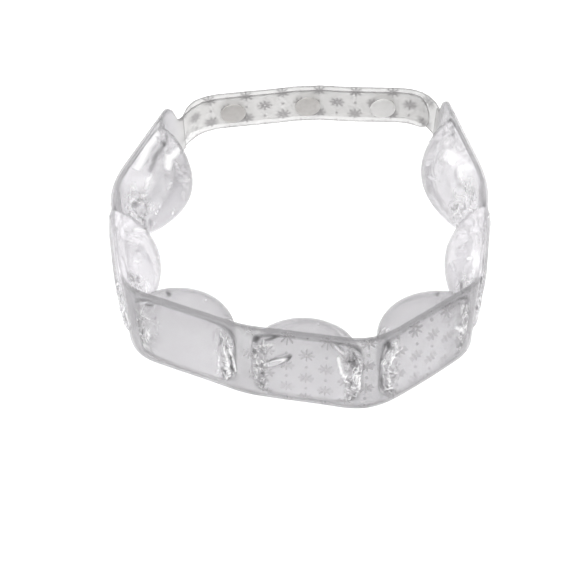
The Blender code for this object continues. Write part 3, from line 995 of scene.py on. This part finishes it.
def gathered_lines(nodes, scale, shift):
    """Thin wandering lines of painted glint or painted shade, drawn out along the strip's height.
    """
    turned = nodes.add("ShaderNodeMapping")
    turned.inputs["Location"].default_value = (shift, 0.5 * shift, 0)
    turned.inputs["Scale"].default_value = (1, 1, LINE_STRETCH)
    nodes.put(turned.inputs["Vector"], nodes.add("ShaderNodeTexCoord").outputs["Object"])
    wave = nodes.add("ShaderNodeTexNoise")
    wave.inputs["Scale"].default_value = scale
    wave.inputs["Detail"].default_value = 1.0
    wave.inputs["Distortion"].default_value = LINE_WANDER
    nodes.put(wave.inputs["Vector"], turned.outputs[0])
    off = nodes.math("ABSOLUTE", nodes.math("SUBTRACT", wave.outputs[0], 0.5))
    return nodes.ramp(off, *LINE_WIDTH, 1, 0)


# The tint of the film's milky part on the body and on the strap, the share that the cut edge and
# a crease's painted shade leave, the ink's colour and share, the loss along a slanting look, and
# the share and colour of the bright white of a crease's painted highlight
BODY_TINT = (1.004, 0.990, 1.016, 1)
STRAP_TINT = (1.0, 0.993, 0.980, 1)
BODY_EDGE = 0.97
STRAP_EDGE = 0.76
CREASE_PAINTED_SHADE = 0.42
INK_COLOUR = (0.25, 0.24, 0.245, 1)
INK_SHARE = 0.62
SLANT_POWER = 5.0
SLANT_LOSS = 0.48
CREASE_PAINTED_HIGHLIGHT = 0.75
PAINTED_HIGHLIGHT_COLOUR = (0.92, 0.92, 0.92, 1)

# Where the cut edge's line fades, and where a crease's painted shade or painted highlight starts
# to show
EDGE_LINE = (0.0002, 0.0007)
PAINTED_MARK_START = 0.06

# Fine lines at the chambers' ends, painted glints and painted shade: their share, the scales of
# the white glint lines and the dark shade lines, and how far they are drawn out, wander and fade
LINE_SHARE = 0.8
GLINT_LINE_SCALE = 230
SHADE_LINE_SCALE = 260
SHADE_LINE_SHIFT = 3
LINE_STRETCH = 0.45
LINE_WANDER = 1.2
LINE_WIDTH = (0.008, 0.04)

# The film's cloudiness and gloss, and the light that film and gel leave for shadows
CLOUD_SCALE = 55
CLOUD_SHARE = 0.02
CLOUD_RANGE = (0.3, 0.7)
GLOSS_ROUGHNESS = 0.16
GLOSS_FACING = 0.014
GLOSS_SLANTING = 0.35
PALE_SHADOW = (0.97, 0.97, 0.97, 1)


def film_material(name, printed):
    """Thin clear film: see-through and a little milky, with gloss, a cut edge, and creases with
    painted shade and painted highlights.
    """
    made = bpy.data.materials.new(name)
    made.use_nodes = True
    nodes = Nodes(made.node_tree)
    facing = nodes.add("ShaderNodeLayerWeight").outputs["Facing"]
    strap = nodes.attribute("on_strap")
    edge_line = nodes.ramp(nodes.attribute("edge_distance"), *EDGE_LINE, 1, 0)
    edge_share = nodes.ramp(strap, 0, 1, 1 - BODY_EDGE, 1 - STRAP_EDGE)
    left = nodes.math("SUBTRACT", 1.0, nodes.math("MULTIPLY", edge_line, edge_share))
    slanting = nodes.math("POWER", facing, SLANT_POWER)
    lost = nodes.math("MULTIPLY", slanting, SLANT_LOSS)
    left = nodes.math("MULTIPLY", left, nodes.math("SUBTRACT", 1.0, lost))
    # Painted glints and painted shade as fine lines where the film is gathered
    gathered = nodes.math("MULTIPLY", nodes.attribute("gathered"), LINE_SHARE)
    painted_glint_lines = nodes.math("MULTIPLY", gathered_lines(nodes, GLINT_LINE_SCALE, 0), gathered)
    painted_shade_lines = gathered_lines(nodes, SHADE_LINE_SCALE, SHADE_LINE_SHIFT)
    painted_shade_lines = nodes.math("MULTIPLY", painted_shade_lines, gathered)
    lines = nodes.math("SUBTRACT", painted_glint_lines, painted_shade_lines)
    # Painted shade below 0 and painted highlight above 0, from the creases, the gathers and the
    # loop
    mark = nodes.math("ADD", nodes.attribute("crease_painted_light"), lines)
    if printed:
        mark = nodes.math("ADD", mark, loop_crease(nodes))
    # Painted shade darkens the see-through part
    dark = nodes.ramp(mark, -1, -PAINTED_MARK_START, 1 - CREASE_PAINTED_SHADE, 0)
    left = nodes.math("MULTIPLY", left, nodes.math("SUBTRACT", 1.0, dark))
    seen_through = nodes.add("ShaderNodeBsdfTransparent")
    nodes.put(seen_through.inputs["Color"], left)
    cloud = nodes.add("ShaderNodeTexNoise")
    cloud.inputs["Scale"].default_value = CLOUD_SCALE
    nodes.put(cloud.inputs["Vector"], nodes.add("ShaderNodeTexCoord").outputs["Object"])
    cloudy = nodes.ramp(cloud.outputs[0], *CLOUD_RANGE, -CLOUD_SHARE, CLOUD_SHARE)
    tint = nodes.mix_colour(strap, BODY_TINT, STRAP_TINT)
    # The milky part's painted light and shade along the strip
    tone = nodes.math("MULTIPLY", nodes.attribute("milk_light_and_shade"), left)
    milky = both_sides(nodes, nodes.times(tint, tone))
    share = nodes.math("ADD", nodes.attribute("milk"), cloudy)
    body = nodes.mix_shaders(share, seen_through.outputs[0], milky)
    if printed:
        ink = nodes.math("MULTIPLY", film_print(nodes), INK_SHARE)
        body = nodes.mix_shaders(ink, body, both_sides(nodes, INK_COLOUR))
    # Painted highlight: matt white mixed in
    white = nodes.ramp(mark, PAINTED_MARK_START, 1, 0, CREASE_PAINTED_HIGHLIGHT)
    body = nodes.mix_shaders(white, body, both_sides(nodes, PAINTED_HIGHLIGHT_COLOUR))
    gloss = nodes.add("ShaderNodeBsdfGlossy")
    gloss.inputs["Roughness"].default_value = GLOSS_ROUGHNESS
    mirror = nodes.math("MULTIPLY_ADD", slanting, GLOSS_SLANTING, GLOSS_FACING)
    shiny = nodes.mix_shaders(mirror, body, gloss.outputs[0])
    unshaded = nodes.add("ShaderNodeBsdfTransparent")
    unshaded.inputs["Color"].default_value = PALE_SHADOW
    is_shadow = nodes.add("ShaderNodeLightPath").outputs["Is Shadow Ray"]
    nodes.finish(nodes.mix_shaders(is_shadow, shiny, unshaded.outputs[0]))
    return made


def both_sides(nodes, colour):
    """A matt layer that shows the light falling on either side of it."""
    behind = nodes.add("ShaderNodeBsdfTranslucent")
    nodes.put(behind.inputs["Color"], colour)
    front = nodes.add("ShaderNodeBsdfDiffuse")
    nodes.put(front.inputs["Color"], colour)
    return nodes.mix_shaders(0.5, behind.outputs[0], front.outputs[0])


# Clear gel: its tint, and a weak refraction as in the photograph
GEL_TINT = (0.985, 0.98, 0.987, 1)
GEL_REFRACTION = 1.12


def gel_material():
    """Clear set gel: refracts, takes a little light along long paths, and casts a pale shadow."""
    made = bpy.data.materials.new("clear_gel")
    made.use_nodes = True
    nodes = Nodes(made.node_tree)
    gel = nodes.add("ShaderNodeBsdfPrincipled")
    gel.inputs["Base Color"].default_value = GEL_TINT
    gel.inputs["Roughness"].default_value = 0.0
    gel.inputs["Transmission Weight"].default_value = 1.0
    gel.inputs["IOR"].default_value = GEL_REFRACTION
    shadow = nodes.add("ShaderNodeBsdfTransparent")
    shadow.inputs["Color"].default_value = PALE_SHADOW
    is_shadow = nodes.add("ShaderNodeLightPath").outputs["Is Shadow Ray"]
    nodes.finish(nodes.mix_shaders(is_shadow, gel.outputs[0], shadow.outputs[0]))
    return made


# Snap plastic: the colours at the left and the right and the share of light through it, for the
# inner and the outer caps, where the inner caps' dark grey and the darker left of both are
# painted shade; where one colour passes into the other; mottling, gloss and bumps
INNER_SNAP_PAINTED_SHADE = ((0.42, 0.405, 0.39, 1), (0.57, 0.565, 0.555, 1), 0.03)
OUTER_SNAP = ((0.90, 0.895, 0.89, 1), (0.92, 0.915, 0.91, 1), 0.6)
SNAP_CHANGE = (0.008, 0.022)
MOTTLE_SCALE = 400
MOTTLE_SHARE = 0.12
MOTTLE_COLOUR = (0.80, 0.79, 0.78, 1)
THROUGH_COLOUR = (0.95, 0.945, 0.94, 1)
SNAP_ROUGHNESS = 0.42
BUMP_STRENGTH = 0.05
BUMP_DEPTH = 0.0001


def snap_material(name, first, second, glow):
    """Moulded off-white plastic, from the first colour at the left to the second, the darker left
    being painted shade, with glow as the share of light that comes through it."""
    made = bpy.data.materials.new(name)
    made.use_nodes = True
    nodes = Nodes(made.node_tree)
    plastic = nodes.add("ShaderNodeBsdfPrincipled")
    where = nodes.add("ShaderNodeTexCoord").outputs["Object"]
    cloud = nodes.add("ShaderNodeTexNoise")
    cloud.inputs["Scale"].default_value = MOTTLE_SCALE
    nodes.put(cloud.inputs["Vector"], where)
    parts = nodes.add("ShaderNodeSeparateXYZ")
    nodes.put(parts.inputs[0], where)
    base = nodes.mix_colour(nodes.ramp(parts.outputs[0], *SNAP_CHANGE), first, second)
    mottle = nodes.ramp(cloud.outputs[0], *CLOUD_RANGE, 0.0, MOTTLE_SHARE)
    colour = nodes.mix_colour(mottle, base, MOTTLE_COLOUR)
    nodes.put(plastic.inputs["Base Color"], colour)
    plastic.inputs["Roughness"].default_value = SNAP_ROUGHNESS
    bump = nodes.add("ShaderNodeBump")
    bump.inputs["Strength"].default_value = BUMP_STRENGTH
    bump.inputs["Distance"].default_value = BUMP_DEPTH
    nodes.put(bump.inputs["Height"], cloud.outputs[0])
    nodes.put(plastic.inputs["Normal"], bump.outputs[0])
    through = nodes.add("ShaderNodeBsdfTranslucent")
    through.inputs["Color"].default_value = THROUGH_COLOUR
    nodes.finish(nodes.mix_shaders(glow, plastic.outputs[0], through.outputs[0]))
    return made


# Room: the floor, the colours at the horizon and overhead, how high the second starts, and each
# light's place, size and power
FLOOR_COLOUR = (0.93, 0.93, 0.93, 1)
FLOOR_DROP = 0.0002
HORIZON_COLOUR = (0.72, 0.718, 0.728, 1)
OVERHEAD_COLOUR = (1.0, 1.0, 1.0, 1)
OVERHEAD_FROM = 0.55
SOFT_LIGHT = ((-0.5, 0.5, 1.1), 0.6, 14)
SMALL_LIGHT = ((0.5, -0.35, 0.9), 0.12, 1.6)


def floor():
    shape = bmesh.new()
    bmesh.ops.create_grid(shape, x_segments=1, y_segments=1, size=FLOOR_SIZE / 2)
    bmesh.ops.translate(shape, verts=shape.verts, vec=(0, 0, -FLOOR_DROP))
    mesh = bpy.data.meshes.new("floor")
    shape.to_mesh(mesh)
    shape.free()
    made = bpy.data.materials.new("pale_floor")
    made.use_nodes = True
    nodes = Nodes(made.node_tree)
    matt = nodes.add("ShaderNodeBsdfDiffuse")
    matt.inputs["Color"].default_value = FLOOR_COLOUR
    nodes.finish(matt.outputs[0])
    mesh.materials.append(made)
    obj = bpy.data.objects.new("floor", mesh)
    bpy.context.scene.collection.objects.link(obj)


def studio():
    """An even pale room, dimmer near the horizon, with a large and a small light."""
    world = bpy.data.worlds.new("pale_room")
    bpy.context.scene.world = world
    world.use_nodes = True
    nodes = Nodes(world.node_tree)
    where = nodes.add("ShaderNodeTexCoord").outputs["Generated"]
    parts = nodes.add("ShaderNodeSeparateXYZ")
    nodes.put(parts.inputs[0], where)
    height = nodes.ramp(parts.outputs[2], 0.0, OVERHEAD_FROM)
    colour = nodes.mix_colour(height, HORIZON_COLOUR, OVERHEAD_COLOUR)
    background = nodes.add("ShaderNodeBackground")
    nodes.put(background.inputs["Color"], colour)
    background.inputs["Strength"].default_value = 1.0
    output = nodes.add("ShaderNodeOutputWorld")
    nodes.put(output.inputs["Surface"], background.outputs[0])
    area_light("soft_light", *SOFT_LIGHT)
    area_light("small_light", *SMALL_LIGHT)


def area_light(name, position, size, power):
    data = bpy.data.lights.new(name, "AREA")
    data.shape = "SQUARE"
    data.size = size
    data.energy = power
    obj = bpy.data.objects.new(name, data)
    obj.location = position
    obj.rotation_euler = (-Vector(position)).to_track_quat("-Z", "Y").to_euler()
    bpy.context.scene.collection.objects.link(obj)


def camera():
    data = bpy.data.cameras.new("camera")
    data.lens = CAMERA_LENS
    data.clip_start = 0.01
    obj = bpy.data.objects.new("camera", data)
    away = Vector((0, -math.cos(CAMERA_RISE), math.sin(CAMERA_RISE)))
    obj.location = CAMERA_TARGET + CAMERA_DISTANCE * away
    obj.rotation_euler = (math.pi / 2 - CAMERA_RISE, 0, 0)
    bpy.context.scene.collection.objects.link(obj)
    bpy.context.scene.camera = obj


def light_paths():
    """Lets a look pass through all the film faces of both sides of the loop."""
    settings = bpy.context.scene.cycles
    settings.transparent_max_bounces = 32
    settings.max_bounces = 20
    settings.transmission_bounces = 16


def shift_onto_solids(pieces, sheet):
    """Moves the pieces' meshes together so that the sheet's box is centred on its solid's."""
    low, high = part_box("outer_film")
    middle = (Vector(low) + Vector(high)) / 2
    corners = [vert.co for vert in sheet.data.vertices]
    own = Vector((
        (min(c.x for c in corners) + max(c.x for c in corners)) / 2,
        (min(c.y for c in corners) + max(c.y for c in corners)) / 2,
        0,
    ))
    move = Vector((middle.x - own.x, middle.y - own.y, 0))
    for obj in pieces:
        obj.data.transform(Matrix.Translation(move))


camera()
floor()
studio()
light_paths()

outer_finish = film_material("printed_film", True)
inner_finish = film_material("plain_film", False)
gel_finish = gel_material()
# The inner caps' plastic is painted dark grey as painted shade
inner_snap_painted_shade = snap_material("snap_plastic", *INNER_SNAP_PAINTED_SHADE)
outer_snap = snap_material("pale_plastic", *OUTER_SNAP)

outer = film(
    "outer_sheet", "outer_film", True, OUTER_STEPS, outer_inset, OUTER_LOOKS, 1, outer_finish
)
inner = film(
    "inner_sheet", "inner_film", False, INNER_STEPS, inner_inset, INNER_LOOKS, -1, inner_finish
)
gels = [gel_pillow(number, gel_finish) for number in range(len(PILLOWS))]
discs = []
for snap_number, snap_along in enumerate(snap_places(), 1):
    seat = snap_seat(snap_along)
    away_seat = seat @ Matrix.Rotation(math.pi, 4, "X")
    discs.append(snap_cap(f"snap_{snap_number}_inner_disc", seat, inner_snap_painted_shade))
    discs.append(snap_cap(f"snap_{snap_number}_outer_disc", away_seat, outer_snap))
shift_onto_solids([outer, inner] + gels + discs, outer)
for kind in ("socket", "stud"):
    for snap_number in (1, 2, 3):
        ring = bpy.data.objects[f"snap_{snap_number}_{kind}"]
        ring.data.materials.clear()
        ring.data.materials.append(outer_snap)

bpy.context.scene.view_settings.view_transform = "Standard"
